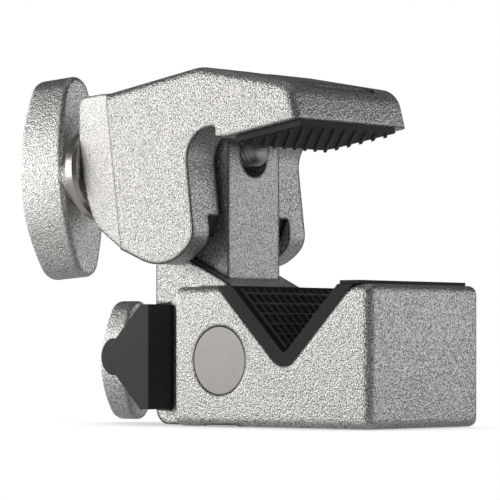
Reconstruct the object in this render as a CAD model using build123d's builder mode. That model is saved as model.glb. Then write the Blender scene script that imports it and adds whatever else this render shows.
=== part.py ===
from build123d import *

import os
from math import acos, atan2, cos, degrees, radians, sin, sqrt, tan

# Super clamp: a cast block with a rubber-lined V, a swinging upper jaw that a screw handle
# drives through a cam, and a hexagonal stud socket with a lock screw and a safety catch.
# Millimetres. +X points out of the jaw's mouth, +Z is up, and the stud's axis runs along Y.
# The origin is on the bottom face, mid-width, straight under the stud's axis.

# --- Cast block ---------------------------------------------------------------------------
WIDTH = 40.0
HALF_WIDTH = WIDTH / 2
BLOCK_BACK = -14.5
BLOCK_FRONT = 44.0
BLOCK_HEIGHT = 32.0
EDGE_RADIUS = 2.0
CORNER_RADIUS = 2.1

V_CENTRE = 19.3
V_DEPTH = 20.0
V_ROUND = 4.5
LINER_THICKNESS = 3.2
LIP_REACH = 40.4
LIP_THICKNESS = 0.8

SPINE_HALF = 12.0
SPINE_BACK = -27.0
SPINE_FOOT_RADIUS = 4.0
POST_HALF = 9.1
POST_FRONT = -6.9
POST_TOP = 67.6
POST_ROUND = 3.0
RAMP_FRONT = -0.5

POCKET_BACK = 27.0
POCKET_FRONT = 40.5
POCKET_HALF = 15.0
POCKET_DEPTH = 9.0
POCKET_ROUND = 2.0

# --- Jaw hinge ----------------------------------------------------------------------------
PIVOT_X = -19.1
PIVOT_Z = 50.5
PIVOT_RADIUS = 4.0
BOLT_END = -16.5
BOLT_HEAD_DEPTH = 3.0
BOLT_HEAD_SUNK = 0.2
BOLT_HEX = 5.0
COUNTERSINK = 45.0
FIT_GAP = 0.02
PIN_GAP = 0.01
WASHER_INNER = 9.2
WASHER_OUTER = 12.2
CUP_RADIUS = 9.4
CUP_WALL = 0.8
CUP_HUB_RADIUS = 6.2
JAW_WIRE_RADIUS = 0.4
JAW_COIL_RADIUS = 7.4
JAW_SPRING_TURNS = 2
JAW_SPRING_LEG = 2.0
RUNNING_GAP = 0.05
BOSS_RADIUS = 9.5
RAMP_RADIUS = 9.8
RAMP_SLOPE = 25.0

# --- Clamp screw: its line passes above the pivot, tilted down towards the handle ----------
SCREW_RADIUS = 4.0
SCREW_TILT = 4.2
SCREW_ABOVE_PIVOT = 12.9
SCREW_FRONT = 15.6
SCREW_POINT = 1.2
NOTCH_WIDTH = 9.0
NOTCH_DROP = 0.9
NUT_RADIUS = 5.9
NUT_OFFSET = 0.5

# --- Cam on the back of the jaw: an involute, so the jaw turns in step with the screw ------
CAM_RADIUS = 17.6
CAM_REST = 33.85
CAM_WALL = 5.5
CAM_TOP_ANGLE = -20.0
CAM_BOTTOM_ANGLE = 46.0
CAM_POINTS = 8

# --- Moving jaw -----------------------------------------------------------------------------
JAW_CHANNEL_HALF = 10.3
JAW_LOWER_RADIUS = 13.2
JAW_TOP_BACK = (-36.0, 77.9)
JAW_PEAK = (-6.8, 82.5)
JAW_NOSE_TOP = (21.0, 77.4)
JAW_NOSE_BOTTOM = (23.3, 69.0)
JAW_UNDERSIDE_SLOPE = 8.5
JAW_TOOTH_BACK = -1.3
JAW_TOOTH_BOTTOM = 65.9
JAW_ARCH_TOP = 68.2
JAW_CHEEK_FRONT = (-10.0, 60.2)
JAW_FOOT_ANGLE = -32.0
JAW_RECESS_TOP = 48.5
JAW_RECESS_RADIUS = 9.7
SPINE_RECESS = 14.3
NEAR_RECESS = 12.3
FAR_RECESS = 16.0
JAW_WEB = 3.6
JAW_CAVITY_FRONT = -0.6
JAW_WEB_BACK = -31.5
HORN_SLOT_HALF = 4.8
HORN_TAPER = 26.5
JAW_CREASE_TOP = (-36.0, 78.0)
JAW_CREASE_BOTTOM = (-31.0, 41.0)
JAW_TAPER_LENGTH = 24.0
JAW_CREASE_STEP = 0.5
ROD_SLOT_BACK = -21.0
ROD_SLOT_FRONT = -3.0
BADGE_LENGTH = 25.0
BADGE_WIDTH = 3.8
BADGE_DEPTH = 0.6
BADGE_SPOT = (18.4, 77.75)
BADGE_TILT = 22.0
JAW_EDGE_RADIUS = 2.0
HORN_TOP_RADIUS = 3.0
NOSE_ROUND = 6.0
PEAK_ROUND = 12.0
BACK_ROUND = 12.0
CHEEK_FOOT_ROUND = 5.0
ROUNDED_SIDES_ABOVE = 71.2

PAD_BACK = 2.5
PAD_NEAR = 19.0
PAD_FAR = 14.8
PAD_THICKNESS = 2.2
PAD_PLATE = 1.5
PAD_MARGIN = 0.9
RIB_PITCH = 2.6
RIB_WIDTH = 0.7
RIB_ANGLE = 45.0
PAD_CORNER = 3.0
PAD_GAP = 0.02
PAD_PEG_RADIUS = 2.0
PAD_PEG_LENGTH = 3.0

# --- Thrust ring, washer and handle, measured back along the screw's line -------------------
RING_FRONT = 33.9
RING_BACK = 37.9
RING_RADIUS = 12.3
WASHER_THICKNESS = 0.9
HANDLE_FACE = 42.8
HANDLE_HUB_RADIUS = 9.0
HANDLE_HALF_LENGTH = 24.8
HANDLE_HALF_WIDTH = 8.3
HANDLE_SIDE_RADIUS = 62.0
HANDLE_THICKNESS = 14.9
HANDLE_END_THICKNESS = 12.0
HANDLE_TURN_AT_REST = 4.8
HANDLE_OUTER_ROUND = 2.8
HANDLE_INNER_ROUND = 1.2
SCREW_BACK = 53.3
HANDLE_SCREW_RADIUS = 2.5
HANDLE_SCREW_HEAD = 4.2
HANDLE_SCREW_GRIP = 8.0
HANDLE_HUB_INSET = 0.8
HANDLE_HUB_TAPER = 12.0
SCREW_WEB = 1.0
SCREW_HEAD_DEPTH = 2.4
RING_CHAMFER = 0.8
RING_CONE = 1.2

# --- Stud socket, lock screw and lock knob --------------------------------------------------
STUD_FLATS = 16.1
STUD_Z = 15.0
SOCKET_END = -9.5
LOCK_RADIUS = 4.0
LOCK_BORE_OVERRUN = 1.0
LOCK_TIP_FACE = -9.0
LOCK_TIP_THICKNESS = 1.6
LOCK_WASHER_FRONT = -40.2
LOCK_WASHER_THICKNESS = 1.2
LOCK_KNOB_FACE = -43.5
LOCK_KNOB_HALF_LENGTH = 14.3
LOCK_KNOB_HALF_WIDTH = 6.2
LOCK_KNOB_SIDE_RADIUS = 30.0
LOCK_KNOB_THICKNESS = 8.0
LOCK_KNOB_END_THICKNESS = 6.2
LOCK_KNOB_TURN = 4.5
LOCK_KNOB_OUTER_ROUND = 1.6
LOCK_KNOB_INNER_ROUND = 0.8
LOCK_SCREW_BACK = -48.4
LOCK_KNOB_SCREW_RADIUS = 2.0
LOCK_KNOB_SCREW_HEAD = 3.2
LOCK_KNOB_SCREW_GRIP = 6.0
LOCK_KNOB_HEAD_DEPTH = 1.6
LOCK_HUB_RADIUS = 6.0
LOCK_STEM_RADIUS = 1.5
LOCK_STEM_LENGTH = 3.0

# --- Wedge insert, kept on the lock screw ---------------------------------------------------
NOTCH_BOTTOM = 3.5
NOTCH_TOP = 28.2
NOTCH_FLOOR = -21.8
WEDGE_BASE = -22.0
WEDGE_BEAD_X = -34.3
WEDGE_BEAD_INSET = 1.5
WEDGE_NOSE_RADIUS = 3.5
WEDGE_GAP = 0.1
WEDGE_FLAT = 2.6
WEDGE_BEAD_RADIUS = 4.4
WEDGE_SLOT_HALF = 4.3

# --- Safety button and catch ----------------------------------------------------------------
BUTTON_RADIUS = 7.75
BUTTON_BACK = -13.8
BUTTON_SHELL = 3.0
BUTTON_BORE_RADIUS = 5.5
BUTTON_CAVITY_END = -11.0
BUTTON_SPRING_RADIUS = 4.2
STOP_PIN_X = 5.2
STOP_PIN_Y = -15.9
STOP_PIN_RADIUS = 0.8
STOP_PIN_TOP = 10.6
STOP_SLOT_FRONT = -18.8
STOP_SLOT_BACK = -15.0
BUTTON_SPRING_TURNS = 4
CATCH_HALF = 2.5
CATCH_PIVOT_Y = -11.6
CATCH_PIVOT_Z = 3.4
CATCH_PIN_RADIUS = 1.0
CATCH_PIN_HALF = 6.0
CATCH_HUB_RADIUS = 1.8
CATCH_ARM = 5.0
CATCH_SLOT_TOP = 7.5
CATCH_SLOT_GAP = 0.2
CATCH_TOOTH_ROOM = 2.6
CATCH_NOSE_ROOM = 1.6
CATCH_ROOF_ROOM = 0.3
CATCH_TOOTH_TOP = 7.6
CATCH_NOSE_Z = 8.3
CATCH_NOSE_RADIUS = 1.0
CATCH_NECK = 1.2
CATCH_TOOTH_LENGTH = 1.4
CATCH_ARM_TOP = 5.2
CATCH_ARM_END = 4.0
CATCH_SPRING_Y = -7.4
CATCH_SPRING_RADIUS = 0.9
CATCH_SPRING_LENGTH = 1.9
CATCH_SPRING_TURNS = 3
CATCH_WIRE_RADIUS = 0.15
COVER_THICKNESS = 1.0
COVER_HALF = 5.5
COVER_BACK = -19.0
COVER_FRONT = -0.6
COVER_SCREW_YS = (-17.2, -2.2)
COVER_SCREW_RADIUS = 0.8
COVER_SCREW_LENGTH = 4.0
COVER_HEAD_RADIUS = 1.6
COVER_HEAD_TAPER = 38.0
COVER_CORNER = 1.0
WIRE_RADIUS = 0.35


def spin(x, z, angle):
    """Turn a point of the XZ plane about the origin, from +X towards +Z, by angle in degrees."""
    c, s = cos(radians(angle)), sin(radians(angle))
    return x * c - z * s, x * s + z * c


def cam_point(angle, inset=0.0):
    """Point of the jaw's cam that the thrust ring meets once the jaw has closed by angle."""
    reach = CAM_REST - inset - CAM_RADIUS * radians(angle)
    x, z = spin(-reach, CAM_RADIUS, SCREW_TILT + angle)
    return PIVOT_X + x, PIVOT_Z + z


def cam_curve(inset=0.0):
    """Points down the cam, from the top of the horns to their lower ends."""
    step = (CAM_BOTTOM_ANGLE - CAM_TOP_ANGLE) / (CAM_POINTS - 1)
    return [cam_point(CAM_TOP_ANGLE + i * step, inset) for i in range(CAM_POINTS)]


def underside(x):
    """Height of the jaw's underside, which rises towards the nose."""
    return JAW_NOSE_BOTTOM[1] - (JAW_NOSE_BOTTOM[0] - x) * tan(radians(JAW_UNDERSIDE_SLOPE))


def web_point(x):
    """Point inside the jaw's top web, which follows the slopes either side of the peak."""
    end = JAW_NOSE_TOP if x > JAW_PEAK[0] else JAW_TOP_BACK
    slope = (end[1] - JAW_PEAK[1]) / (end[0] - JAW_PEAK[0])
    return x, JAW_PEAK[1] - JAW_WEB + (x - JAW_PEAK[0]) * slope


def pivot_point(radius, angle):
    """Point of the XZ plane at a radius from the pivot, at an angle from +X towards +Z."""
    x, z = spin(radius, 0, angle)
    return PIVOT_X + x, PIVOT_Z + z


def side_plane(y):
    """XZ plane at y, seen from the near side: local x is X and local y is Z."""
    return Plane.XZ.offset(-y)


def end_plane(x):
    """YZ plane at x: local x is Y and local y is Z."""
    return Plane.YZ.offset(x)


foot_x, foot_z = spin(0, SCREW_ABOVE_PIVOT, SCREW_TILT)
SCREW_LINE = Plane(
    origin=(PIVOT_X + foot_x, 0, PIVOT_Z + foot_z),
    x_dir=(0, -1, 0),
    z_dir=(-cos(radians(SCREW_TILT)), 0, -sin(radians(SCREW_TILT))),
)
LOCK_LINE = Plane(origin=(0, 0, STUD_Z), x_dir=(0, -1, 0), z_dir=(-1, 0, 0))


def lever_face(half_length, half_width, side_radius):
    """Long oval of a lever knob, with bowed sides and round ends, standing along local y."""
    bow = side_radius - half_width
    end_radius = (side_radius**2 - bow**2 - half_length**2) / (2 * (side_radius - half_length))
    scale = side_radius / (side_radius - end_radius)
    shoulder = bow * (scale - 1)
    end_height = (half_length - end_radius) * scale
    with BuildSketch() as face:
        with BuildLine():
            ThreePointArc((shoulder, -end_height), (half_width, 0), (shoulder, end_height))
            ThreePointArc((shoulder, end_height), (0, half_length), (-shoulder, end_height))
            ThreePointArc((-shoulder, end_height), (-half_width, 0), (-shoulder, -end_height))
            ThreePointArc((-shoulder, -end_height), (0, -half_length), (shoulder, -end_height))
        make_face()
    return face.sketch


def lever_side(half_length, thickness, end_thickness):
    """Side view of a lever knob: flat face along local x, crowned face above it."""
    with BuildSketch() as side:
        with BuildLine():
            Polyline(
                (-half_length, end_thickness),
                (-half_length, 0),
                (half_length, 0),
                (half_length, end_thickness),
            )
            ThreePointArc((half_length, end_thickness), (0, thickness), (-half_length, end_thickness))
        make_face()
    return side.sketch


def rim_edges(builder, plane, lowest, highest):
    """Edges of a lever whose middles lie between two distances from its flat face."""
    return builder.edges().filter_by(
        lambda edge: lowest <= plane.to_local_coords(edge.center()).Z <= highest
    )


def edgewise(plane):
    """Plane that looks at a lever from its side: local x is its length, local y its thickness."""
    return Plane(origin=plane.origin, x_dir=plane.y_dir, z_dir=plane.x_dir)


os.makedirs("parts", exist_ok=True)

# ==== Lower jaw: block, spine and post in one casting =======================================
ramp_x = PIVOT_X - RAMP_RADIUS * sin(radians(RAMP_SLOPE))
ramp_z = PIVOT_Z - RAMP_RADIUS * cos(radians(RAMP_SLOPE))


def ramp_height(x):
    """Height of the ramp that the jaw's washers clear, on top of the spine."""
    return ramp_z - (x - ramp_x) * tan(radians(RAMP_SLOPE))


cover_screw_spots = [(0, y) for y in COVER_SCREW_YS]
nut_centre = SCREW_LINE.origin - SCREW_LINE.z_dir * NUT_OFFSET
catch_slot_end = CATCH_PIVOT_Y + CATCH_ARM + CATCH_TOOTH_ROOM
catch_slot_start = BUTTON_BACK - CATCH_NOSE_ROOM
catch_slot_width = 2 * (CATCH_HALF + CATCH_SLOT_GAP)

with BuildPart() as lower_jaw:
    with BuildSketch():
        with Locations(((BLOCK_BACK + BLOCK_FRONT) / 2, 0)):
            Rectangle(BLOCK_FRONT - BLOCK_BACK, WIDTH)
    extrude(amount=BLOCK_HEIGHT)
    fillet(lower_jaw.edges().filter_by(Axis.Z), CORNER_RADIUS)
    rims = lower_jaw.edges().group_by(Axis.Z)
    fillet(rims[0] + rims[-1], EDGE_RADIUS)
    # V-groove across the block
    with BuildSketch(Plane.XZ):
        rise = EDGE_RADIUS
        with BuildLine():
            Polyline(
                (V_CENTRE - V_DEPTH - rise, BLOCK_HEIGHT + rise),
                (V_CENTRE, BLOCK_HEIGHT - V_DEPTH),
                (V_CENTRE + V_DEPTH + rise, BLOCK_HEIGHT + rise),
                close=True,
            )
        make_face()
        fillet(vertices().sort_by(Axis.Y)[0], V_ROUND)
    extrude(amount=HALF_WIDTH, both=True, mode=Mode.SUBTRACT)
    # Spine behind the block, with the ramp on top
    with BuildSketch(Plane.XZ):
        with BuildLine():
            Polyline(
                (SPINE_BACK, 0),
                (RAMP_FRONT, 0),
                (RAMP_FRONT, ramp_height(RAMP_FRONT)),
                (SPINE_BACK, ramp_height(SPINE_BACK)),
                close=True,
            )
        make_face()
        fillet(vertices().sort_by_distance((SPINE_BACK, 0))[0], SPINE_FOOT_RADIUS)
    extrude(amount=SPINE_HALF, both=True)
    # Post that carries the hinge and the nut
    with BuildSketch(Plane.XZ):
        with Locations(((SPINE_BACK + POST_FRONT) / 2, (BLOCK_HEIGHT + POST_TOP) / 2)):
            Rectangle(POST_FRONT - SPINE_BACK, POST_TOP - BLOCK_HEIGHT)
        fillet(vertices().group_by(Axis.Y)[-1], POST_ROUND)
    extrude(amount=POST_HALF, both=True)
    # Notch for the clamp screw and cross bores for its nut and the hinge bolt
    with BuildSketch(end_plane(SPINE_BACK)):
        with Locations((0, nut_centre.Z - NOTCH_DROP)):
            Circle(NOTCH_WIDTH / 2)
            Rectangle(NOTCH_WIDTH, NOTCH_WIDTH, align=(Align.CENTER, Align.MIN))
    extrude(amount=POST_FRONT - SPINE_BACK, mode=Mode.SUBTRACT)
    with BuildSketch(Plane.XZ):
        with Locations((nut_centre.X, nut_centre.Z)):
            Circle(NUT_RADIUS + RUNNING_GAP)
        with Locations((PIVOT_X, PIVOT_Z)):
            Circle(PIVOT_RADIUS + RUNNING_GAP)
    extrude(amount=POST_HALF, both=True, mode=Mode.SUBTRACT)
    # Seat for the wedge insert
    with BuildSketch(Plane.XZ):
        with Locations((NOTCH_FLOOR, (NOTCH_BOTTOM + NOTCH_TOP) / 2)):
            Rectangle(
                2 * (NOTCH_FLOOR - SPINE_BACK),
                NOTCH_TOP - NOTCH_BOTTOM,
                align=(Align.MAX, Align.CENTER),
            )
    extrude(amount=SPINE_HALF, both=True, mode=Mode.SUBTRACT)
    # Stud socket, lock screw bore and button bore
    with BuildSketch(side_plane(HALF_WIDTH)):
        with Locations((0, STUD_Z)):
            RegularPolygon(STUD_FLATS / 2, 6, major_radius=False, rotation=30)
    extrude(amount=HALF_WIDTH - SOCKET_END, mode=Mode.SUBTRACT)
    with BuildSketch(end_plane(NOTCH_FLOOR)):
        with Locations((0, STUD_Z)):
            Circle(LOCK_RADIUS + RUNNING_GAP)
    extrude(amount=-NOTCH_FLOOR - STUD_FLATS / 2 + LOCK_BORE_OVERRUN, mode=Mode.SUBTRACT)
    with BuildSketch(side_plane(-HALF_WIDTH)):
        with Locations((0, STUD_Z)):
            Circle(BUTTON_RADIUS + RUNNING_GAP)
    extrude(amount=-(HALF_WIDTH + BUTTON_CAVITY_END), mode=Mode.SUBTRACT)
    # Catch slot, its cover's recess and the small holes round it
    with BuildSketch():
        with Locations((0, (catch_slot_start + catch_slot_end) / 2)):
            Rectangle(catch_slot_width, catch_slot_end - catch_slot_start)
    extrude(amount=CATCH_SLOT_TOP, mode=Mode.SUBTRACT)
    with BuildSketch(Plane.XY.offset(COVER_THICKNESS)):
        with Locations((0, (catch_slot_start + SOCKET_END) / 2)):
            Rectangle(catch_slot_width, SOCKET_END - catch_slot_start)
    extrude(amount=STUD_Z - BUTTON_BORE_RADIUS - COVER_THICKNESS + CATCH_ROOF_ROOM, mode=Mode.SUBTRACT)
    with BuildSketch():
        with Locations((0, (COVER_BACK + COVER_FRONT) / 2)):
            RectangleRounded(
                2 * (COVER_HALF + RUNNING_GAP),
                COVER_FRONT - COVER_BACK + 2 * RUNNING_GAP,
                COVER_CORNER,
            )
    extrude(amount=COVER_THICKNESS + FIT_GAP, mode=Mode.SUBTRACT)
    with BuildSketch():
        with Locations(*cover_screw_spots):
            Circle(COVER_SCREW_RADIUS + FIT_GAP)
    extrude(amount=COVER_SCREW_LENGTH + 2 * RUNNING_GAP, mode=Mode.SUBTRACT)
    with BuildSketch():
        with Locations((STOP_PIN_X, STOP_PIN_Y)):
            Circle(STOP_PIN_RADIUS + PIN_GAP)
    extrude(amount=STOP_PIN_TOP, mode=Mode.SUBTRACT)
    with BuildSketch(end_plane(BLOCK_BACK)):
        with Locations((CATCH_PIVOT_Y, CATCH_PIVOT_Z)):
            Circle(CATCH_PIN_RADIUS + PIN_GAP)
    extrude(amount=CATCH_PIN_HALF - BLOCK_BACK, mode=Mode.SUBTRACT)
    # Weight-saving pocket under the front of the block
    with BuildSketch():
        with Locations(((POCKET_BACK + POCKET_FRONT) / 2, 0)):
            RectangleRounded(POCKET_FRONT - POCKET_BACK, 2 * POCKET_HALF, POCKET_ROUND)
    extrude(amount=POCKET_DEPTH, mode=Mode.SUBTRACT)
lower_jaw.part.label = "lower_jaw_body"
export_step(lower_jaw.part, "parts/lower_jaw_body.step")

# ==== Rubber liner of the V =================================================================
liner_rise = LINER_THICKNESS * sqrt(2)
liner_gap = PAD_GAP * sqrt(2)

with BuildPart() as v_liner:
    with BuildSketch(Plane.XZ):
        with BuildLine():
            Polyline(
                (V_CENTRE - V_DEPTH + liner_gap, BLOCK_HEIGHT),
                (V_CENTRE, BLOCK_HEIGHT - V_DEPTH + liner_gap),
                (V_CENTRE + V_DEPTH - liner_gap, BLOCK_HEIGHT),
                close=True,
            )
        make_face()
        fillet(vertices().sort_by(Axis.Y)[0], V_ROUND)
    extrude(amount=HALF_WIDTH, both=True)
    with BuildSketch(Plane.XZ):
        with BuildLine():
            Polyline(
                (V_CENTRE - V_DEPTH + liner_rise, BLOCK_HEIGHT),
                (V_CENTRE, BLOCK_HEIGHT - V_DEPTH + liner_rise),
                (V_CENTRE + V_DEPTH - liner_rise, BLOCK_HEIGHT),
                close=True,
            )
        make_face()
        fillet(vertices().sort_by(Axis.Y)[0], V_ROUND - LINER_THICKNESS)
    extrude(amount=HALF_WIDTH, both=True, mode=Mode.SUBTRACT)
    # Lip folded over the front of the block
    with BuildSketch(Plane.XZ):
        with Locations((V_CENTRE + V_DEPTH - liner_rise, BLOCK_HEIGHT)):
            Rectangle(
                LIP_REACH - V_CENTRE - V_DEPTH + liner_rise,
                LIP_THICKNESS,
                align=(Align.MIN, Align.MIN),
            )
    extrude(amount=HALF_WIDTH - LIP_THICKNESS, both=True)
v_liner.part.label = "v_liner"
export_step(v_liner.part, "parts/v_liner.step")

# ==== Moving jaw: beak, two cheeks and a cam-shaped back ====================================
cam = cam_curve()
heel_run = cam[-1][0] - PIVOT_X
heel_rise = cam[-1][1] - PIVOT_Z
heel_reach = sqrt(heel_run**2 + heel_rise**2)
tangent_angle = degrees(atan2(heel_rise, heel_run)) + degrees(acos(JAW_LOWER_RADIUS / heel_reach))
belly_angle = (tangent_angle + JAW_FOOT_ANGLE) / 2
belly_start = pivot_point(JAW_LOWER_RADIUS, tangent_angle)
belly_middle = pivot_point(JAW_LOWER_RADIUS, belly_angle)
cheek_foot = pivot_point(JAW_LOWER_RADIUS, JAW_FOOT_ANGLE)
jaw_corners = (
    (JAW_NOSE_TOP, NOSE_ROUND),
    (JAW_PEAK, PEAK_ROUND),
    (JAW_TOP_BACK, BACK_ROUND),
    (cheek_foot, CHEEK_FOOT_ROUND),
)
arch_end = (JAW_TOOTH_BACK, JAW_ARCH_TOP)
tooth_back = (JAW_TOOTH_BACK, JAW_TOOTH_BOTTOM)
cheek_run = (JAW_CHEEK_FRONT[0] - cheek_foot[0], JAW_CHEEK_FRONT[1] - cheek_foot[1])

crease_tilt = atan2(JAW_CREASE_BOTTOM[0] - JAW_CREASE_TOP[0], JAW_CREASE_TOP[1] - JAW_CREASE_BOTTOM[1])
CREASE = Plane(
    origin=(JAW_CREASE_TOP[0], 0, JAW_CREASE_TOP[1]),
    x_dir=(-cos(crease_tilt), 0, -sin(crease_tilt)),
    z_dir=(sin(crease_tilt), 0, -cos(crease_tilt)),
)
PAD_SEAT = Plane(
    origin=(JAW_NOSE_BOTTOM[0], 0, JAW_NOSE_BOTTOM[1]),
    x_dir=(-cos(radians(JAW_UNDERSIDE_SLOPE)), 0, -sin(radians(JAW_UNDERSIDE_SLOPE))),
    z_dir=(sin(radians(JAW_UNDERSIDE_SLOPE)), 0, -cos(radians(JAW_UNDERSIDE_SLOPE))),
)
pad_length = (JAW_NOSE_BOTTOM[0] - PAD_BACK) / cos(radians(JAW_UNDERSIDE_SLOPE))
pad_middle = (pad_length / 2, (PAD_FAR - PAD_NEAR) / 2)
peg_spots = [(pad_length / 2, y) for y in (-PAD_NEAR / 2, PAD_FAR / 2)]
BADGE_SEAT = Plane(
    origin=(BADGE_SPOT[0], 0, BADGE_SPOT[1]),
    x_dir=(-cos(radians(BADGE_TILT)), 0, sin(radians(BADGE_TILT))),
    z_dir=(sin(radians(BADGE_TILT)), 0, cos(radians(BADGE_TILT))),
)

with BuildPart() as moving_jaw:
    with BuildSketch(Plane.XZ):
        with BuildLine():
            Spline(*cam)
            Line(cam[-1], belly_start)
            ThreePointArc(belly_start, belly_middle, cheek_foot)
            Line(cheek_foot, JAW_CHEEK_FRONT)
            TangentArc(JAW_CHEEK_FRONT, arch_end, tangent=cheek_run)
            Polyline(
                arch_end,
                tooth_back,
                (PAD_BACK, underside(PAD_BACK)),
                JAW_NOSE_BOTTOM,
                JAW_NOSE_TOP,
                JAW_PEAK,
                JAW_TOP_BACK,
                cam[0],
            )
        make_face()
        for corner, radius in jaw_corners:
            fillet(vertices().sort_by_distance(corner)[0], radius)
    extrude(amount=HALF_WIDTH, both=True)
    side_edges = moving_jaw.edges().group_by(lambda edge: abs(edge.center().Y))[-1]
    fillet(side_edges.filter_by_position(Axis.Z, ROUNDED_SIDES_ABOVE, JAW_PEAK[1]), JAW_EDGE_RADIUS)
    # Back of the cheeks drawn in towards the cam
    taper_end = HALF_WIDTH - JAW_CREASE_STEP - JAW_TAPER_LENGTH * tan(radians(HORN_TAPER))
    with BuildSketch(CREASE):
        with BuildLine():
            Polyline(
                (0, HALF_WIDTH - JAW_CREASE_STEP),
                (JAW_TAPER_LENGTH, taper_end),
                (JAW_TAPER_LENGTH, HALF_WIDTH + JAW_EDGE_RADIUS),
                (0, HALF_WIDTH + JAW_EDGE_RADIUS),
                close=True,
            )
        make_face()
        mirror(about=Plane.XZ)
    extrude(amount=JAW_PEAK[1], both=True, mode=Mode.SUBTRACT)
    horn_top = moving_jaw.edges().filter_by(Axis.Y).sort_by_distance((cam[0][0], 0, cam[0][1]))[0]
    fillet(horn_top, HORN_TOP_RADIUS)
    # Channel between the cheeks
    cavity_front = web_point(JAW_CAVITY_FRONT)
    cavity_back = web_point(JAW_WEB_BACK)
    inner_cam = cam_curve(CAM_WALL)
    with BuildSketch(Plane.XZ):
        with BuildLine():
            Polyline(
                (inner_cam[-1][0], 0),
                (JAW_CAVITY_FRONT, 0),
                cavity_front,
                web_point(JAW_PEAK[0]),
                cavity_back,
                (JAW_WEB_BACK, JAW_PEAK[1]),
                (inner_cam[0][0], JAW_PEAK[1]),
                inner_cam[0],
            )
            Spline(*inner_cam)
            Line(inner_cam[-1], (inner_cam[-1][0], 0))
        make_face()
    extrude(amount=JAW_CHANNEL_HALF, both=True, mode=Mode.SUBTRACT)
    # Slots for the clamp screw, through the horns and through the web
    with BuildSketch(Plane.XZ):
        with Locations((JAW_WEB_BACK, 0)):
            Rectangle(JAW_TAPER_LENGTH, JAW_PEAK[1], align=(Align.MAX, Align.MIN))
    extrude(amount=HORN_SLOT_HALF, both=True, mode=Mode.SUBTRACT)
    with BuildSketch(Plane.XY.offset(POST_TOP)):
        with Locations(((ROD_SLOT_BACK + ROD_SLOT_FRONT) / 2, 0)):
            SlotOverall(ROD_SLOT_FRONT - ROD_SLOT_BACK, 2 * HORN_SLOT_HALF)
    extrude(amount=JAW_PEAK[1] - POST_TOP, mode=Mode.SUBTRACT)
    # Room for the spine, the washers and the spring
    with BuildSketch(Plane.XZ):
        with Locations((PIVOT_X, 0)):
            Rectangle(2 * JAW_LOWER_RADIUS, JAW_RECESS_TOP, align=(Align.CENTER, Align.MIN))
    extrude(amount=SPINE_RECESS, both=True, mode=Mode.SUBTRACT)
    for reach in (NEAR_RECESS, -FAR_RECESS):
        with BuildSketch(Plane.XZ):
            with Locations((PIVOT_X, PIVOT_Z)):
                Circle(JAW_RECESS_RADIUS)
        extrude(amount=reach, mode=Mode.SUBTRACT)
    # Bore for the hinge bolt, countersunk on the far side
    with BuildSketch(side_plane(HALF_WIDTH)):
        with Locations((PIVOT_X, PIVOT_Z)):
            Circle(PIVOT_RADIUS + FIT_GAP)
    extrude(amount=HALF_WIDTH - BOLT_END, mode=Mode.SUBTRACT)
    with BuildSketch(side_plane(HALF_WIDTH)):
        with Locations((PIVOT_X, PIVOT_Z)):
            Circle(PIVOT_RADIUS + FIT_GAP + BOLT_HEAD_DEPTH + BOLT_HEAD_SUNK)
    extrude(amount=BOLT_HEAD_DEPTH + BOLT_HEAD_SUNK, taper=COUNTERSINK, mode=Mode.SUBTRACT)
    # Sockets for the pad's pegs, and the blank recess on the beak's rounded top
    with BuildSketch(PAD_SEAT):
        with Locations(*peg_spots):
            Circle(PAD_PEG_RADIUS + FIT_GAP)
    extrude(amount=-PAD_PEG_LENGTH - FIT_GAP, mode=Mode.SUBTRACT)
    with BuildSketch(BADGE_SEAT):
        SlotOverall(BADGE_LENGTH, BADGE_WIDTH, rotation=90)
    extrude(amount=-BADGE_DEPTH, mode=Mode.SUBTRACT)
moving_jaw.part.label = "moving_jaw"
export_step(moving_jaw.part, "parts/moving_jaw.step")

# ==== Ribbed rubber pad under the beak ======================================================
pad_width = PAD_NEAR + PAD_FAR
rib_step = RIB_PITCH * sqrt(2)
rib_count = int((pad_width + pad_length) / rib_step)
rib_centres = [(0, i * rib_step - PAD_NEAR - pad_length) for i in range(rib_count + 1)]

with BuildPart() as upper_pad:
    with BuildSketch(PAD_SEAT.offset(FIT_GAP)):
        with Locations(pad_middle):
            Rectangle(pad_length, pad_width)
        fillet(vertices().group_by(Axis.X)[-1], PAD_CORNER)
    extrude(amount=PAD_PLATE)
    with BuildSketch(PAD_SEAT.offset(FIT_GAP + PAD_PLATE)):
        with Locations(*rib_centres):
            Rectangle(2 * pad_width, RIB_WIDTH, rotation=RIB_ANGLE)
        with Locations(pad_middle):
            Rectangle(pad_length - 2 * PAD_MARGIN, pad_width - 2 * PAD_MARGIN, mode=Mode.INTERSECT)
    extrude(amount=PAD_THICKNESS - PAD_PLATE)
    with BuildSketch(PAD_SEAT.offset(FIT_GAP)):
        with Locations(*peg_spots):
            Circle(PAD_PEG_RADIUS)
    extrude(amount=-PAD_PEG_LENGTH)
upper_pad.part.label = "upper_pad"
export_step(upper_pad.part, "parts/upper_pad.step")

# ==== Hinge: bolt, washers, spring and its cup ==============================================
bolt_top = HALF_WIDTH - BOLT_HEAD_SUNK

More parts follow.
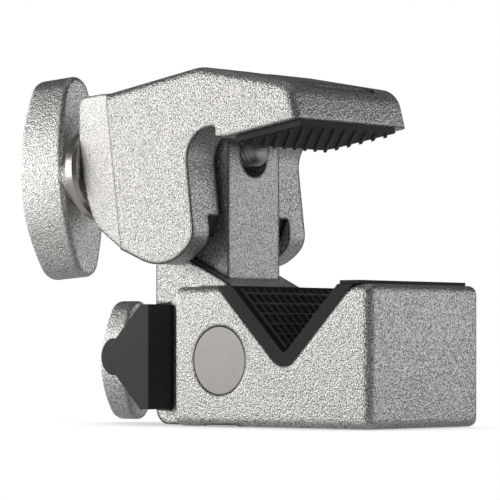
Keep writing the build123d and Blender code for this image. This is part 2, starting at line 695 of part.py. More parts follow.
with BuildPart() as pivot_bolt:
    with BuildSketch(side_plane(bolt_top)):
        with Locations((PIVOT_X, PIVOT_Z)):
            Circle(PIVOT_RADIUS + BOLT_HEAD_DEPTH)
    extrude(amount=BOLT_HEAD_DEPTH, taper=COUNTERSINK)
    with BuildSketch(side_plane(bolt_top - BOLT_HEAD_DEPTH)):
        with Locations((PIVOT_X, PIVOT_Z)):
            Circle(PIVOT_RADIUS)
    extrude(amount=bolt_top - BOLT_HEAD_DEPTH - BOLT_END - FIT_GAP)
    with BuildSketch(side_plane(bolt_top)):
        with Locations((PIVOT_X, PIVOT_Z)):
            RegularPolygon(BOLT_HEX / 2, 6, major_radius=False)
    extrude(amount=BOLT_HEAD_DEPTH, mode=Mode.SUBTRACT)
pivot_bolt.part.label = "pivot_bolt"
export_step(pivot_bolt.part, "parts/pivot_bolt.step")

with BuildPart() as pivot_washers:
    for face in (-WASHER_INNER, WASHER_OUTER):
        with BuildSketch(side_plane(face)):
            with Locations((PIVOT_X, PIVOT_Z)):
                Circle(BOSS_RADIUS)
                Circle(PIVOT_RADIUS + RUNNING_GAP, mode=Mode.SUBTRACT)
        extrude(amount=WASHER_OUTER - WASHER_INNER)
pivot_washers.part.label = "pivot_washers"
export_step(pivot_washers.part, "parts/pivot_washers.step")

cup_floor = WASHER_OUTER + RUNNING_GAP
cup_rim = FAR_RECESS - RUNNING_GAP

with BuildPart() as spring_cup:
    with BuildSketch(side_plane(cup_rim)):
        with Locations((PIVOT_X, PIVOT_Z)):
            Circle(CUP_RADIUS)
            Circle(PIVOT_RADIUS + RUNNING_GAP, mode=Mode.SUBTRACT)
    extrude(amount=cup_rim - cup_floor)
    with BuildSketch(side_plane(cup_rim)):
        with Locations((PIVOT_X, PIVOT_Z)):
            Circle(CUP_RADIUS - CUP_WALL)
            Circle(CUP_HUB_RADIUS, mode=Mode.SUBTRACT)
    extrude(amount=cup_rim - cup_floor - CUP_WALL, mode=Mode.SUBTRACT)
spring_cup.part.label = "spring_cup"
export_step(spring_cup.part, "parts/spring_cup.step")

coil_start = cup_floor + CUP_WALL + JAW_WIRE_RADIUS + 2 * RUNNING_GAP
coil_length = cup_rim - JAW_WIRE_RADIUS - 2 * RUNNING_GAP - coil_start

with BuildPart() as jaw_spring:
    with BuildLine() as coil:
        Helix(
            coil_length / JAW_SPRING_TURNS,
            coil_length,
            JAW_COIL_RADIUS,
            center=(PIVOT_X, coil_start, PIVOT_Z),
            direction=(0, 1, 0),
        )
    with BuildSketch(Plane(origin=coil.line @ 0, z_dir=coil.line % 0)):
        Circle(JAW_WIRE_RADIUS)
    sweep()
    for end, way in ((0, -1), (1, 1)):
        with BuildSketch(Plane(origin=coil.line @ end, z_dir=(coil.line % end) * way)):
            Circle(JAW_WIRE_RADIUS)
        extrude(amount=JAW_SPRING_LEG)
jaw_spring.part.label = "jaw_spring"
export_step(jaw_spring.part, "parts/jaw_spring.step")

# ==== Cross nut in the post =================================================================
with BuildPart() as cross_nut:
    with BuildSketch(Plane.XZ):
        with Locations((nut_centre.X, nut_centre.Z)):
            Circle(NUT_RADIUS)
    extrude(amount=POST_HALF, both=True)
    with BuildSketch(SCREW_LINE):
        Circle(SCREW_RADIUS + RUNNING_GAP)
    extrude(amount=2 * NUT_RADIUS, both=True, mode=Mode.SUBTRACT)
cross_nut.part.label = "cross_nut"
export_step(cross_nut.part, "parts/cross_nut.step")

# ==== Thrust ring and friction washer =======================================================
with BuildPart() as thrust_ring:
    with BuildSketch(edgewise(SCREW_LINE)):
        with BuildLine():
            Polyline(
                (SCREW_RADIUS + RUNNING_GAP, RING_FRONT),
                (RING_RADIUS - RING_CHAMFER, RING_FRONT),
                (RING_RADIUS, RING_FRONT + RING_CHAMFER),
                (RING_RADIUS, RING_BACK - RING_CONE),
                (HANDLE_HUB_RADIUS, RING_BACK),
                (SCREW_RADIUS + RUNNING_GAP, RING_BACK),
                close=True,
            )
        make_face()
    revolve(axis=Axis(SCREW_LINE.origin, SCREW_LINE.z_dir))
thrust_ring.part.label = "thrust_ring"
export_step(thrust_ring.part, "parts/thrust_ring.step")

with BuildPart() as friction_washer:
    with BuildSketch(SCREW_LINE.offset(RING_BACK + RUNNING_GAP)):
        Circle(HANDLE_HUB_RADIUS)
        Circle(SCREW_RADIUS + RUNNING_GAP, mode=Mode.SUBTRACT)
    extrude(amount=WASHER_THICKNESS)
friction_washer.part.label = "friction_washer"
export_step(friction_washer.part, "parts/friction_washer.step")

# ==== Clamp screw, handle and the handle's screw ============================================
handle_plane = SCREW_LINE.offset(HANDLE_FACE).rotated((0, 0, HANDLE_TURN_AT_REST))
handle_back = HANDLE_FACE + HANDLE_THICKNESS
hub_front = RING_BACK + WASHER_THICKNESS + 2 * RUNNING_GAP

with BuildPart() as clamp_screw:
    with BuildSketch(SCREW_LINE.offset(-SCREW_FRONT)):
        Circle(SCREW_RADIUS)
    extrude(amount=SCREW_FRONT + SCREW_BACK)
    chamfer(clamp_screw.edges().group_by(Axis.X)[-1], SCREW_POINT)
    with BuildSketch(SCREW_LINE.offset(SCREW_BACK)):
        Circle(HANDLE_SCREW_RADIUS + FIT_GAP)
    extrude(amount=-HANDLE_SCREW_GRIP - FIT_GAP, mode=Mode.SUBTRACT)
clamp_screw.part.label = "clamp_screw"
export_step(clamp_screw.part, "parts/clamp_screw.step")

with BuildPart() as main_handle:
    with BuildSketch(handle_plane):
        add(lever_face(HANDLE_HALF_LENGTH, HANDLE_HALF_WIDTH, HANDLE_SIDE_RADIUS))
    extrude(amount=HANDLE_THICKNESS)
    with BuildSketch(edgewise(handle_plane)):
        add(lever_side(HANDLE_HALF_LENGTH, HANDLE_THICKNESS, HANDLE_END_THICKNESS))
    extrude(amount=HANDLE_HALF_WIDTH, both=True, mode=Mode.INTERSECT)
    outer_rim = rim_edges(main_handle, handle_plane, HANDLE_THICKNESS / 2, HANDLE_THICKNESS)
    fillet(outer_rim, HANDLE_OUTER_ROUND)
    fillet(rim_edges(main_handle, handle_plane, -FIT_GAP, FIT_GAP), HANDLE_INNER_ROUND)
    with BuildSketch(SCREW_LINE.offset(HANDLE_FACE)):
        Circle(HANDLE_HUB_RADIUS - HANDLE_HUB_INSET)
    extrude(amount=hub_front - HANDLE_FACE, taper=HANDLE_HUB_TAPER)
    with BuildSketch(SCREW_LINE.offset(hub_front)):
        Circle(SCREW_RADIUS + FIT_GAP)
    extrude(amount=SCREW_BACK + FIT_GAP - hub_front, mode=Mode.SUBTRACT)
    with BuildSketch(SCREW_LINE.offset(SCREW_BACK)):
        Circle(HANDLE_SCREW_RADIUS + FIT_GAP)
    extrude(amount=SCREW_WEB, mode=Mode.SUBTRACT)
    with BuildSketch(SCREW_LINE.offset(SCREW_BACK + SCREW_WEB)):
        Circle(HANDLE_SCREW_HEAD + FIT_GAP)
    extrude(amount=HANDLE_THICKNESS, mode=Mode.SUBTRACT)
main_handle.part.label = "main_handle"
export_step(main_handle.part, "parts/main_handle.step")

with BuildPart() as handle_screw:
    with BuildSketch(SCREW_LINE.offset(SCREW_BACK + SCREW_WEB + FIT_GAP)):
        Circle(HANDLE_SCREW_HEAD)
    extrude(amount=SCREW_HEAD_DEPTH)
    chamfer(handle_screw.edges().group_by(Axis.X)[0], SCREW_HEAD_DEPTH / 4)
    with BuildSketch(SCREW_LINE.offset(SCREW_BACK - HANDLE_SCREW_GRIP)):
        Circle(HANDLE_SCREW_RADIUS)
    extrude(amount=HANDLE_SCREW_GRIP + SCREW_WEB + 2 * FIT_GAP)
    with BuildSketch(SCREW_LINE.offset(SCREW_BACK + SCREW_WEB + SCREW_HEAD_DEPTH)):
        RegularPolygon(HANDLE_SCREW_RADIUS / 2, 6)
    extrude(amount=-SCREW_HEAD_DEPTH / 2, both=True, mode=Mode.SUBTRACT)
handle_screw.part.label = "handle_screw"
export_step(handle_screw.part, "parts/handle_screw.step")

# ==== Lock screw with its tip, washer and knob ==============================================
knob_plane = LOCK_LINE.offset(-LOCK_KNOB_FACE).rotated((0, 0, LOCK_KNOB_TURN))
lock_washer_back = LOCK_WASHER_FRONT - LOCK_WASHER_THICKNESS
lock_hub_front = lock_washer_back - RUNNING_GAP
lock_tip_back = LOCK_TIP_FACE - LOCK_TIP_THICKNESS
lock_screw_front = lock_tip_back - RUNNING_GAP

with BuildPart() as lock_tip:
    with BuildSketch(end_plane(LOCK_TIP_FACE)):
        with Locations((0, STUD_Z)):
            Circle(LOCK_RADIUS)
    extrude(amount=-LOCK_TIP_THICKNESS)
    with BuildSketch(end_plane(lock_tip_back)):
        with Locations((0, STUD_Z)):
            Circle(LOCK_STEM_RADIUS)
    extrude(amount=-LOCK_STEM_LENGTH)
lock_tip.part.label = "lock_tip"
export_step(lock_tip.part, "parts/lock_tip.step")

with BuildPart() as lock_washer:
    with BuildSketch(end_plane(LOCK_WASHER_FRONT)):
        with Locations((0, STUD_Z)):
            Circle(LOCK_HUB_RADIUS)
            Circle(LOCK_RADIUS + RUNNING_GAP, mode=Mode.SUBTRACT)
    extrude(amount=-LOCK_WASHER_THICKNESS)
lock_washer.part.label = "lock_washer"
export_step(lock_washer.part, "parts/lock_washer.step")

with BuildPart() as lock_screw:
    with BuildSketch(end_plane(lock_screw_front)):
        with Locations((0, STUD_Z)):
            Circle(LOCK_RADIUS)
    extrude(amount=LOCK_SCREW_BACK - lock_screw_front)
    with BuildSketch(end_plane(lock_screw_front)):
        with Locations((0, STUD_Z)):
            Circle(LOCK_STEM_RADIUS + RUNNING_GAP)
    extrude(amount=-LOCK_STEM_LENGTH - RUNNING_GAP, mode=Mode.SUBTRACT)
    with BuildSketch(end_plane(LOCK_SCREW_BACK)):
        with Locations((0, STUD_Z)):
            Circle(LOCK_KNOB_SCREW_RADIUS + FIT_GAP)
    extrude(amount=LOCK_KNOB_SCREW_GRIP + FIT_GAP, mode=Mode.SUBTRACT)
lock_screw.part.label = "lock_screw"
export_step(lock_screw.part, "parts/lock_screw.step")

with BuildPart() as lock_knob:
    with BuildSketch(knob_plane):
        add(lever_face(LOCK_KNOB_HALF_LENGTH, LOCK_KNOB_HALF_WIDTH, LOCK_KNOB_SIDE_RADIUS))
    extrude(amount=LOCK_KNOB_THICKNESS)
    with BuildSketch(edgewise(knob_plane)):
        add(lever_side(LOCK_KNOB_HALF_LENGTH, LOCK_KNOB_THICKNESS, LOCK_KNOB_END_THICKNESS))
    extrude(amount=LOCK_KNOB_HALF_WIDTH, both=True, mode=Mode.INTERSECT)
    outer_rim = rim_edges(lock_knob, knob_plane, LOCK_KNOB_THICKNESS / 2, LOCK_KNOB_THICKNESS)
    fillet(outer_rim, LOCK_KNOB_OUTER_ROUND)
    fillet(rim_edges(lock_knob, knob_plane, -FIT_GAP, FIT_GAP), LOCK_KNOB_INNER_ROUND)
    with BuildSketch(end_plane(LOCK_KNOB_FACE)):
        with Locations((0, STUD_Z)):
            Circle(LOCK_HUB_RADIUS)
    extrude(amount=lock_hub_front - LOCK_KNOB_FACE)
    with BuildSketch(end_plane(lock_hub_front)):
        with Locations((0, STUD_Z)):
            Circle(LOCK_RADIUS + FIT_GAP)
    extrude(amount=LOCK_SCREW_BACK - FIT_GAP - lock_hub_front, mode=Mode.SUBTRACT)
    with BuildSketch(end_plane(LOCK_SCREW_BACK)):
        with Locations((0, STUD_Z)):
            Circle(LOCK_KNOB_SCREW_RADIUS + FIT_GAP)
    extrude(amount=-SCREW_WEB, mode=Mode.SUBTRACT)
    with BuildSketch(end_plane(LOCK_SCREW_BACK - SCREW_WEB)):
        with Locations((0, STUD_Z)):
            Circle(LOCK_KNOB_SCREW_HEAD + FIT_GAP)
    extrude(amount=-LOCK_KNOB_THICKNESS, mode=Mode.SUBTRACT)
lock_knob.part.label = "lock_knob"
export_step(lock_knob.part, "parts/lock_knob.step")

with BuildPart() as lock_knob_screw:
    with BuildSketch(end_plane(LOCK_SCREW_BACK - SCREW_WEB - FIT_GAP)):
        with Locations((0, STUD_Z)):
            Circle(LOCK_KNOB_SCREW_HEAD)
    extrude(amount=-LOCK_KNOB_HEAD_DEPTH)
    with BuildSketch(end_plane(LOCK_SCREW_BACK - SCREW_WEB - FIT_GAP)):
        with Locations((0, STUD_Z)):
            Circle(LOCK_KNOB_SCREW_RADIUS)
    extrude(amount=LOCK_KNOB_SCREW_GRIP + SCREW_WEB)
    with BuildSketch(end_plane(LOCK_SCREW_BACK - SCREW_WEB - LOCK_KNOB_HEAD_DEPTH)):
        with Locations((0, STUD_Z)):
            RegularPolygon(LOCK_KNOB_SCREW_RADIUS / 2, 6)
    extrude(amount=LOCK_KNOB_HEAD_DEPTH / 2, both=True, mode=Mode.SUBTRACT)
lock_knob_screw.part.label = "lock_knob_screw"
export_step(lock_knob_screw.part, "parts/lock_knob_screw.step")

# ==== Wedge insert ==========================================================================
wedge_bottom = NOTCH_BOTTOM + WEDGE_GAP
wedge_top = NOTCH_TOP - WEDGE_GAP
wedge_middle = (wedge_bottom + wedge_top) / 2
wedge_shoulder = WEDGE_BASE - WEDGE_FLAT
wedge_apex = wedge_shoulder - (wedge_top - wedge_bottom) / 2

with BuildPart() as wedge_insert:
    with BuildSketch(Plane.XZ):
        with BuildLine():
            Polyline(
                (WEDGE_BASE, wedge_bottom),
                (wedge_shoulder, wedge_bottom),
                (wedge_apex, wedge_middle),
                (wedge_shoulder, wedge_top),
                (WEDGE_BASE, wedge_top),
                close=True,
            )
        make_face()
        fillet(vertices().sort_by_distance((wedge_apex, wedge_middle))[0], WEDGE_NOSE_RADIUS)
    extrude(amount=HALF_WIDTH, both=True)
    with BuildSketch(Plane.XZ):
        with Locations((WEDGE_BEAD_X, wedge_middle)):
            Circle(WEDGE_BEAD_RADIUS)
    extrude(amount=HALF_WIDTH - WEDGE_BEAD_INSET, both=True)
    with BuildSketch(side_plane(HALF_WIDTH)):
        with Locations((WEDGE_BASE, STUD_Z)):
            Rectangle(2 * (WEDGE_BASE - wedge_apex + WEDGE_BEAD_RADIUS), 2 * WEDGE_SLOT_HALF)
    extrude(amount=HALF_WIDTH + WEDGE_SLOT_HALF, mode=Mode.SUBTRACT)
wedge_insert.part.label = "wedge_insert"
export_step(wedge_insert.part, "parts/wedge_insert.step")

# ==== Safety button, its spring and its stop pin ============================================
with BuildPart() as safety_button:
    with BuildSketch(side_plane(-HALF_WIDTH)):
        with Locations((0, STUD_Z)):
            Circle(BUTTON_RADIUS)
    extrude(amount=-(HALF_WIDTH + BUTTON_BACK))
    with BuildSketch(side_plane(BUTTON_BACK)):
        with Locations((0, STUD_Z)):
            Circle(BUTTON_BORE_RADIUS)
    extrude(amount=HALF_WIDTH + BUTTON_BACK - BUTTON_SHELL, mode=Mode.SUBTRACT)
    with BuildSketch(end_plane(STOP_PIN_X)):
        with Locations(((STOP_SLOT_FRONT + STOP_SLOT_BACK) / 2, 0)):
            Rectangle(
                STOP_SLOT_BACK - STOP_SLOT_FRONT,
                STOP_PIN_TOP + RUNNING_GAP,
                align=(Align.CENTER, Align.MIN),
            )
    extrude(amount=STOP_PIN_RADIUS + 2 * RUNNING_GAP, both=True, mode=Mode.SUBTRACT)
safety_button.part.label = "safety_button"
export_step(safety_button.part, "parts/safety_button.step")

with BuildPart() as button_stop_pin:
    with BuildSketch(Plane.XY.offset(COVER_THICKNESS + RUNNING_GAP)):
        with Locations((STOP_PIN_X, STOP_PIN_Y)):
            Circle(STOP_PIN_RADIUS)
    extrude(amount=STOP_PIN_TOP - COVER_THICKNESS - 2 * RUNNING_GAP)
button_stop_pin.part.label = "button_stop_pin"
export_step(button_stop_pin.part, "parts/button_stop_pin.step")

button_spring_start = BUTTON_SHELL - HALF_WIDTH + WIRE_RADIUS + RUNNING_GAP
button_spring_length = BUTTON_CAVITY_END - WIRE_RADIUS - RUNNING_GAP - button_spring_start

with BuildPart() as button_spring:
    with BuildLine() as coil:
        Helix(
            button_spring_length / BUTTON_SPRING_TURNS,
            button_spring_length,
            BUTTON_SPRING_RADIUS,
            center=(0, button_spring_start, STUD_Z),
            direction=(0, 1, 0),
        )
    with BuildSketch(Plane(origin=coil.line @ 0, z_dir=coil.line % 0)):
        Circle(WIRE_RADIUS)
    sweep()
button_spring.part.label = "button_spring"
export_step(button_spring.part, "parts/button_spring.step")

# ==== Catch lever with its pin, spring and cover ============================================
tooth_front_y = CATCH_PIVOT_Y + CATCH_ARM
tooth_back_y = tooth_front_y - CATCH_TOOTH_LENGTH
nose_y = BUTTON_BACK + RUNNING_GAP + CATCH_NOSE_RADIUS

with BuildPart() as catch_lever:
    with BuildSketch(Plane.YZ):
        with BuildLine():
            Polyline(
                (CATCH_PIVOT_Y - CATCH_NECK, CATCH_PIVOT_Z),
                (nose_y - CATCH_NECK / 2, CATCH_NOSE_Z),
                (nose_y + CATCH_NOSE_RADIUS, CATCH_NOSE_Z),
                (CATCH_PIVOT_Y + CATCH_HUB_RADIUS / 2, CATCH_ARM_TOP),
                (tooth_back_y, CATCH_ARM_TOP),
                (tooth_back_y, CATCH_TOOTH_TOP),
                (tooth_front_y, CATCH_TOOTH_TOP),
                (tooth_front_y, CATCH_ARM_END),
                (CATCH_PIVOT_Y, CATCH_PIVOT_Z - CATCH_HUB_RADIUS),
                close=True,
            )
        make_face()
        with Locations((CATCH_PIVOT_Y, CATCH_PIVOT_Z)):
            Circle(CATCH_HUB_RADIUS)
        with Locations((nose_y, CATCH_NOSE_Z)):
            Circle(CATCH_NOSE_RADIUS)
        with Locations((CATCH_PIVOT_Y, CATCH_PIVOT_Z)):
            Circle(CATCH_PIN_RADIUS + RUNNING_GAP, mode=Mode.SUBTRACT)
    extrude(amount=CATCH_HALF, both=True)
catch_lever.part.label = "catch_lever"
export_step(catch_lever.part, "parts/catch_lever.step")

with BuildPart() as catch_lever_pin:
    with BuildSketch(Plane.YZ):
        with Locations((CATCH_PIVOT_Y, CATCH_PIVOT_Z)):
            Circle(CATCH_PIN_RADIUS)
    extrude(amount=CATCH_PIN_HALF - RUNNING_GAP, both=True)
catch_lever_pin.part.label = "catch_lever_pin"
export_step(catch_lever_pin.part, "parts/catch_lever_pin.step")

catch_spring_start = COVER_THICKNESS + CATCH_WIRE_RADIUS + RUNNING_GAP

with BuildPart() as catch_spring:
    with BuildLine() as coil:
        Helix(
            CATCH_SPRING_LENGTH / CATCH_SPRING_TURNS,
            CATCH_SPRING_LENGTH,
            CATCH_SPRING_RADIUS,
            center=(0, CATCH_SPRING_Y, catch_spring_start),
        )
    with BuildSketch(Plane(origin=coil.line @ 0, z_dir=coil.line % 0)):
        Circle(CATCH_WIRE_RADIUS)
    sweep()
catch_spring.part.label = "catch_spring"
export_step(catch_spring.part, "parts/catch_spring.step")

with BuildPart() as catch_cover:
    with BuildSketch():
        with Locations((0, (COVER_BACK + COVER_FRONT) / 2)):
            RectangleRounded(2 * COVER_HALF, COVER_FRONT - COVER_BACK, COVER_CORNER)
    extrude(amount=COVER_THICKNESS)
    with BuildSketch():
        with Locations(*cover_screw_spots):
            Circle(COVER_HEAD_RADIUS + FIT_GAP)
    extrude(amount=COVER_THICKNESS, taper=COVER_HEAD_TAPER, mode=Mode.SUBTRACT)
catch_cover.part.label = "catch_cover"
export_step(catch_cover.part, "parts/catch_cover.step")

with BuildPart() as cover_screws:
    with BuildSketch():
        with Locations(*cover_screw_spots):
            Circle(COVER_HEAD_RADIUS)
    extrude(amount=COVER_THICKNESS, taper=COVER_HEAD_TAPER)
    with BuildSketch():
        with Locations(*cover_screw_spots):
            Circle(COVER_SCREW_RADIUS)
    extrude(amount=COVER_SCREW_LENGTH)
    with BuildSketch():
        with Locations(*cover_screw_spots):
            RegularPolygon(COVER_SCREW_RADIUS, 6)
    extrude(amount=COVER_THICKNESS / 2, mode=Mode.SUBTRACT)
cover_screws.part.label = "cover_screws"
export_step(cover_screws.part, "parts/cover_screws.step")
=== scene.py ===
from math import cos, pi, radians, sin

import bmesh
import bpy
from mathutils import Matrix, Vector


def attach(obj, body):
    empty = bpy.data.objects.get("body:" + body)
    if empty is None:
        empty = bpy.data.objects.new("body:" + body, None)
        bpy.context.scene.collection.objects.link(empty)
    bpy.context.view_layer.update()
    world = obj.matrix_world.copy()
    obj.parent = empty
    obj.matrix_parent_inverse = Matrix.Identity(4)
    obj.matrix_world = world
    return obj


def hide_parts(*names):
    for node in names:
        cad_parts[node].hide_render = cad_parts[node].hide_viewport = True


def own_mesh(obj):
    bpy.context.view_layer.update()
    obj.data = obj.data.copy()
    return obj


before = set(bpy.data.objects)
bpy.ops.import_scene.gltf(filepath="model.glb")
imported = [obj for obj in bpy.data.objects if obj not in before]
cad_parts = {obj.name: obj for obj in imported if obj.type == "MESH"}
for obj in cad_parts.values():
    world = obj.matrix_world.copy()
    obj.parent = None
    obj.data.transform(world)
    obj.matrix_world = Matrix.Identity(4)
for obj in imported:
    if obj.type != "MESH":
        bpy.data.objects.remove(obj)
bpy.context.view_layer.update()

MM = 0.001

# Measures of the clamp that the added pieces follow, in millimetres
BLOCK_HEIGHT = 32.0
V_CENTRE = 19.3
V_DEPTH = 20.0
LINER_THICKNESS = 3.2
PIVOT = (-19.1, 0.0, 50.5)
SCREW_TILT = radians(4.2)
SCREW_ABOVE_PIVOT = 12.9
SCREW_FRONT = 15.6
SCREW_BACK = 53.3
SCREW_PITCH = 1.25
SCREW_RADIUS = 4.0
THREAD_DEPTH = 0.62
LOCK_HEIGHT = 15.0
LOCK_FRONT = -10.65
LOCK_BACK = -48.4


# ---- Node materials --------------------------------------------------------------------------
class Nodes:
    """Small helper that adds and wires shader nodes of one material."""

    def __init__(self, name):
        self.material = bpy.data.materials.new(name)
        self.material.use_nodes = True
        self.tree = self.material.node_tree
        self.tree.nodes.clear()
        self.out = self.add("ShaderNodeOutputMaterial")

    def add(self, kind, **settings):
        node = self.tree.nodes.new(kind)
        for key, value in settings.items():
            setattr(node, key, value)
        return node

    def set(self, node, **inputs):
        for key, value in inputs.items():
            socket = node.inputs[key.replace("_", " ")]
            if isinstance(value, bpy.types.NodeSocket):
                self.tree.links.new(value, socket)
            else:
                socket.default_value = value
        return node

    def noise(self, coords, scale, detail=4.0, roughness=0.55):
        node = self.add("ShaderNodeTexNoise")
        self.set(node, Vector=coords, Scale=scale, Detail=detail, Roughness=roughness)
        return node.outputs["Fac"]

    def ramp(self, value, low, high, start=(0, 0, 0, 1), end=(1, 1, 1, 1)):
        node = self.add("ShaderNodeValToRGB")
        node.color_ramp.elements[0].position = low
        node.color_ramp.elements[0].color = start
        node.color_ramp.elements[1].position = high
        node.color_ramp.elements[1].color = end
        self.set(node, Fac=value)
        return node.outputs["Color"]

    def math(self, operation, a, b=0.0):
        node = self.add("ShaderNodeMath", operation=operation)
        for index, value in enumerate((a, b)):
            if isinstance(value, bpy.types.NodeSocket):
                self.tree.links.new(value, node.inputs[index])
            else:
                node.inputs[index].default_value = value
        return node.outputs[0]

    def mix(self, factor, a, b, blend="MIX"):
        node = self.add("ShaderNodeMix", data_type="RGBA", blend_type=blend)
        for index, value in ((0, factor), (6, a), (7, b)):
            if isinstance(value, bpy.types.NodeSocket):
                self.tree.links.new(value, node.inputs[index])
            else:
                node.inputs[index].default_value = value
        return node.outputs[2]

    def bump(self, height, depth, strength=1.0, normal=None):
        node = self.add("ShaderNodeBump")
        self.set(node, Height=height, Distance=depth, Strength=strength)
        if normal is not None:
            self.set(node, Normal=normal)
        return node.outputs["Normal"]

    def edge(self, radius):
        """Rounded normal near edges, and how much it differs from the flat one."""
        bevel = self.add("ShaderNodeBevel", samples=8)
        self.set(bevel, Radius=radius)
        flat = self.add("ShaderNodeNewGeometry")
        dot = self.add("ShaderNodeVectorMath", operation="DOT_PRODUCT")
        self.tree.links.new(bevel.outputs[0], dot.inputs[0])
        self.tree.links.new(flat.outputs["Normal"], dot.inputs[1])
        return bevel.outputs[0], self.math("SUBTRACT", 1.0, dot.outputs["Value"])

    def finish(self, color, metallic, roughness, normal, **extra):
        shader = self.add("ShaderNodeBsdfPrincipled")
        self.set(shader, Base_Color=color, Metallic=metallic, Roughness=roughness, Normal=normal)
        self.set(shader, **extra)
        self.tree.links.new(shader.outputs[0], self.out.inputs["Surface"])
        return self.material


def grey(value, warmth=0.0):
    """Grey with a warm tint."""
    return (value * (1 + warmth), value, value * (1 - 1.5 * warmth), 1.0)


def crease_shade_line(n, coords, spot, across, half_width):
    """Mask of a thin line of painted shade where a plane through a spot cuts the surface,
    standing for the dark line at a crease.
    """
    shift = n.add("ShaderNodeVectorMath", operation="SUBTRACT")
    n.set(shift, Vector=coords)
    shift.inputs[1].default_value = spot
    along = n.add("ShaderNodeVectorMath", operation="DOT_PRODUCT")
    n.tree.links.new(shift.outputs[0], along.inputs[0])
    along.inputs[1].default_value = across
    distance = n.math("ABSOLUTE", along.outputs["Value"])
    return n.math("MULTIPLY", n.math("LESS_THAN", distance, half_width), 0.85)


def cast_metal(name, tone, grain, depth, edge_radius, rough=0.42, crease_shade=None, warmth=0.012):
    """Bead-blasted cast alloy: leathery grain, faint blotches, and painted shade on rounded edges
    and, where given, along a crease line.
    """
    n = Nodes(name)
    coords = n.add("ShaderNodeTexCoord").outputs["Object"]
    rounded, edges = n.edge(edge_radius)
    fine = n.noise(coords, grain, 2.0, 0.6)
    leather = n.noise(coords, grain * 0.5, 1.0, 0.5)
    pits = n.add("ShaderNodeTexVoronoi", feature="SMOOTH_F1")
    n.set(pits, Vector=coords, Scale=grain * 0.8, Smoothness=0.35, Randomness=1.0)
    height = n.math("ADD", n.math("MULTIPLY", fine, 0.6), n.math("MULTIPLY", leather, 0.7))
    height = n.math("ADD", height, n.math("MULTIPLY", pits.outputs["Distance"], 0.4))
    blotch = n.noise(coords, 90.0, 5.0, 0.6)
    speck = n.ramp(fine, 0.38, 0.53, grey(tone * 0.38, warmth), grey(tone * 1.2, warmth))
    tint = n.ramp(blotch, 0.3, 0.72, grey(0.9, 0.0), grey(1.0, 0.0))
    color = n.mix(1.0, speck, tint, "MULTIPLY")
    # Painted shade: rounded edges are darkened almost to black
    painted_shade = n.math("MULTIPLY", n.ramp(edges, 0.02, 0.16), 0.8)
    # Painted shade: a thin dark line along a crease, on the jaw
    if crease_shade:
        painted_shade = n.math("MAXIMUM", painted_shade, crease_shade_line(n, coords, *crease_shade))
    color = n.mix(painted_shade, color, grey(tone * 0.1, warmth))
    roughness = n.math("ADD", rough - 0.06, n.math("MULTIPLY", blotch, 0.14))
    normal = n.bump(height, depth, 0.9, rounded)
    return n.finish(color, 0.92, roughness, normal)


def rubber(name, tone, warmth=0.03):
    """Moulded rubber: matt, faint grain, and a painted highlight along its edges."""
    n = Nodes(name)
    coords = n.add("ShaderNodeTexCoord").outputs["Object"]
    rounded, edges = n.edge(0.00025)
    fine = n.noise(coords, 1600.0, 3.0)
    cloud = n.noise(coords, 120.0, 4.0)
    color = n.ramp(cloud, 0.3, 0.7, grey(tone * 0.8, warmth), grey(tone * 1.15, warmth))
    # Painted highlight: edges are lightened as if catching the light
    edge_highlight = n.math("MULTIPLY", n.ramp(edges, 0.02, 0.3), 0.5)
    color = n.mix(edge_highlight, color, grey(tone * 2.4, warmth))
    roughness = n.math("ADD", 0.5, n.math("MULTIPLY", fine, 0.22))
    return n.finish(color, 0.0, roughness, n.bump(fine, 0.00004, 0.7, rounded))


def plastic(name, tone, rough, warmth=0.01, grain=0.00003):
    """Moulded plastic with a fine spark-eroded grain and a painted highlight along its edges."""
    n = Nodes(name)
    coords = n.add("ShaderNodeTexCoord").outputs["Object"]
    rounded, edges = n.edge(0.0004)
    fine = n.noise(coords, 2600.0, 2.0)
    cloud = n.noise(coords, 70.0, 4.0)
    color = n.ramp(cloud, 0.3, 0.7, grey(tone * 0.88, warmth), grey(tone * 1.1, warmth))
    # Painted highlight: edges are lightened as if catching the light
    edge_highlight = n.math("MULTIPLY", n.ramp(edges, 0.03, 0.3), 0.4)
    color = n.mix(edge_highlight, color, grey(tone * 1.9, warmth))
    roughness = n.math("ADD", rough, n.math("MULTIPLY", cloud, 0.12))
    return n.finish(color, 0.0, roughness, n.bump(fine, grain, 0.8, rounded))


def turned_metal(name, tone, rough, warmth=0.0, axis="Z", scratch=0.25, metallic=1.0):
    """Machined or plated metal: fine turning marks round an axis, light handling marks, and a
    painted highlight along the edges.
    """
    n = Nodes(name)
    coords = n.add("ShaderNodeTexCoord").outputs["Object"]
    rounded, edges = n.edge(0.0002)
    stretch = n.add("ShaderNodeMapping")
    scale = {"X": (14.0, 1.0, 1.0), "Y": (1.0, 14.0, 1.0), "Z": (1.0, 1.0, 14.0)}[axis]
    n.set(stretch, Vector=coords, Scale=scale)
    lines = n.noise(stretch.outputs[0], 320.0, 5.0, 0.7)
    stains = n.noise(coords, 110.0, 4.0)
    color = n.ramp(stains, 0.3, 0.75, grey(tone * 0.86, warmth), grey(tone * 1.06, warmth))
    # Painted highlight: edges are lightened towards a brighter tone
    highlight_tone = grey(min(1.0, tone * 1.5), warmth)
    color = n.mix(n.math("MULTIPLY", n.ramp(edges, 0.03, 0.3), 0.4), color, highlight_tone)
    roughness = n.math("ADD", rough, n.math("MULTIPLY", lines, scratch))
    return n.finish(color, metallic, roughness, n.bump(lines, 0.00002, 0.5, rounded))


